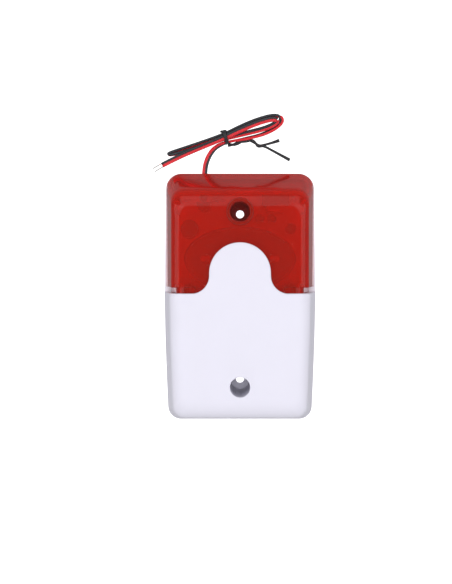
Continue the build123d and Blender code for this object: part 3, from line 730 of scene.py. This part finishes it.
def make_tie():
    """The twisted wire tie: two turns and a knot round the bundle, a twist and two tails."""
    middle_line = [
        (-0.0060, 0.0754, 0.0012),
        (-0.0036, 0.0752, 0.0013),
        (-0.0012, 0.0762, 0.0013),
        (0.0012, 0.0771, 0.0013),
        (0.0036, 0.0775, 0.0013),
        (0.0058, 0.0775, 0.0013),
        (0.0074, 0.0766, 0.0013),
        (0.0086, 0.0750, 0.0013),
        (0.0100, 0.0747, 0.0012),
    ]
    short_tail = [(0.0118, 0.0753, 0.0010), (0.0155, 0.0762, 0.0010), (0.0196, 0.0776, 0.0009)]
    long_tail = [(0.0118, 0.0749, 0.0009), (0.0170, 0.0721, 0.0008), (0.0249, 0.0678, 0.0008)]
    pieces = []
    for number, (tail, wide_end) in enumerate(((short_tail, 1.45), (long_tail, 1.35))):
        points = []
        for step, centre in enumerate(middle_line):
            turn = math.pi * (number + step * 0.55)
            sideways = 0.00052 * math.cos(turn)
            points.append((centre[0], centre[1] + sideways, centre[2] + 0.00048 * math.sin(turn)))
        pieces.append(bent_wire("tie_strand", points + tail, TIE_WIRE, wide_end))
    pieces += [tie_band(-0.0007, 0.0004), tie_band(0.0006, -0.0003)]
    knot = ((-0.0013, 0.0030, 0.0060), (-0.0004, 0.0022, 0.0074), (0.0011, 0.0026, 0.0062))
    pieces.append(bent_wire("tie_knot", [tie_spot(*spot) for spot in knot], TIE_WIRE))
    return dress(join_pieces(pieces, "wire_tie"), "tie_plastic", "twist_tie", angle=60)


def make_wire_ends():
    """The two bared ends, each a few tinned strands twisted together."""
    pieces = []
    for start, finish in (
        ((-0.0393, 0.0659, 0.0015), (-0.04355, 0.0635, 0.0013)),
        ((-0.0382, 0.0645, 0.0015), (-0.0426, 0.06195, 0.0013)),
    ):
        run = Vector(finish) - Vector(start)
        across = run.cross(Vector((0, 0, 1))).normalized()
        over = across.cross(run).normalized()
        for strand in range(5):
            points = []
            for step in range(9):
                turn = math.tau * (strand / 5 + step / 6)
                ring = across * math.cos(turn) + over * math.sin(turn)
                points.append(tuple(Vector(start) + run * step / 8 + ring * 0.00019))
            pieces.append(bent_wire("strand", points, 0.00012))
    return dress(join_pieces(pieces, "bare_strands"), "tinned_copper", "wire_ends", angle=60)


# ---------------------------------------------------------------- carried-over parts

NODE_FINISHES = {
    "base": "white_base",
    "case_screws": "screw_steel",
    "control_board": "board_laminate",
    "board_screws": "screw_steel",
    "reflector": "reflector_chrome",
    "flash_tube": "tube_glass",
    "tube_electrodes": "pin_metal",
    "trigger_wire": "tinned_copper",
    "transformer_core": "ferrite",
    "transformer_winding": "winding_tape",
    "trigger_coil": "coil_resin",
    "flash_capacitor": "capacitor_sleeve",
    "filter_capacitor": "capacitor_sleeve",
    "film_capacitor": "film_resin",
    "transistors": "chip_epoxy",
    "tone_chip": "chip_epoxy",
    "resistors": "resistor_body",
    "horn_body": "black_capsule",
    "piezo_plate": "piezo_brass",
    "piezo_ceramic": "piezo_ceramic",
    "disc_seal": "seal_rubber",
    "horn_cap": "black_capsule",
    "horn_screws": "screw_steel",
    "sounder_leads": "red_insulation",
    "inner_leads": "red_insulation",
}


def paint_nodes():
    """Better materials on the CAD parts that stay as they are."""
    for node, material in NODE_FINISHES.items():
        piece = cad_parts[node]
        for number in range(max(1, len(piece.material_slots))):
            if number < len(piece.material_slots):
                piece.material_slots[number].material = MATERIALS[material]
            else:
                piece.data.materials.append(MATERIALS[material])


# ---------------------------------------------------------------- studio


def make_floor():
    """A plain pale light table far wider than the unit; it shows darker in gloss than to the eye."""
    deselect()
    bpy.ops.mesh.primitive_plane_add(size=6, location=(0, 0, -0.0001))
    floor = bpy.context.object
    floor.name = "floor"
    material = bpy.data.materials.new("floor_paper")
    material.use_nodes = True
    tree = material.node_tree
    shader = tree.nodes["Principled BSDF"]
    shader.inputs["Base Color"].default_value = (0.12, 0.12, 0.122, 1)
    shader.inputs["Roughness"].default_value = 0.9
    shader.inputs["Emission Color"].default_value = (1, 1, 1, 1)
    path = tree.nodes.new("ShaderNodeLightPath")
    glow = tree.nodes.new("ShaderNodeMapRange")
    glow.inputs["To Min"].default_value = 1.4
    glow.inputs["To Max"].default_value = 0.08
    tree.links.new(path.outputs["Is Glossy Ray"], glow.inputs["Value"])
    tree.links.new(glow.outputs["Result"], shader.inputs["Emission Strength"])
    floor.data.materials.append(material)


def add_lamp(name, place, target, size, power):
    """A soft square lamp aimed at a point."""
    deselect()
    bpy.ops.object.light_add(type="AREA", location=place)
    lamp = bpy.context.object
    lamp.name = name
    lamp.data.shape = "SQUARE"
    lamp.data.size = size
    lamp.data.energy = power
    way = Vector(target) - Vector(place)
    lamp.rotation_euler = way.to_track_quat("-Z", "Y").to_euler()


def make_light():
    """Dim even surroundings, four large soft lamps round the unit and a soft one straight above."""
    world = bpy.data.worlds.new("studio")
    bpy.context.scene.world = world
    world.use_nodes = True
    background = world.node_tree.nodes["Background"]
    background.inputs["Color"].default_value = (1.0, 1.0, 1.0, 1)
    background.inputs["Strength"].default_value = 0.3
    for name, x, y, power in (
        ("left_lamp", -0.75, 0.15, 3.4),
        ("right_lamp", 0.75, 0.15, 3.1),
        ("top_lamp", 0.0, 0.95, 2.6),
        ("low_lamp", 0.0, -0.85, 2.6),
    ):
        add_lamp(name, (x, y, 0.85), (0, 0, 0), 1.1, power)
    add_lamp("overhead_lamp", (0, 0, 1.2), (0, 0, 0), 0.35, 8.0)
    bpy.context.object.visible_glossy = False
    bpy.context.object.visible_transmission = False
    bpy.context.scene.view_settings.view_transform = "Standard"


# ---------------------------------------------------------------- assembly

lead, lead_line = make_lead()
make_lens()
make_cover()
tie = make_tie()
bare_ends = make_wire_ends()
paint_nodes()
make_floor()
make_light()
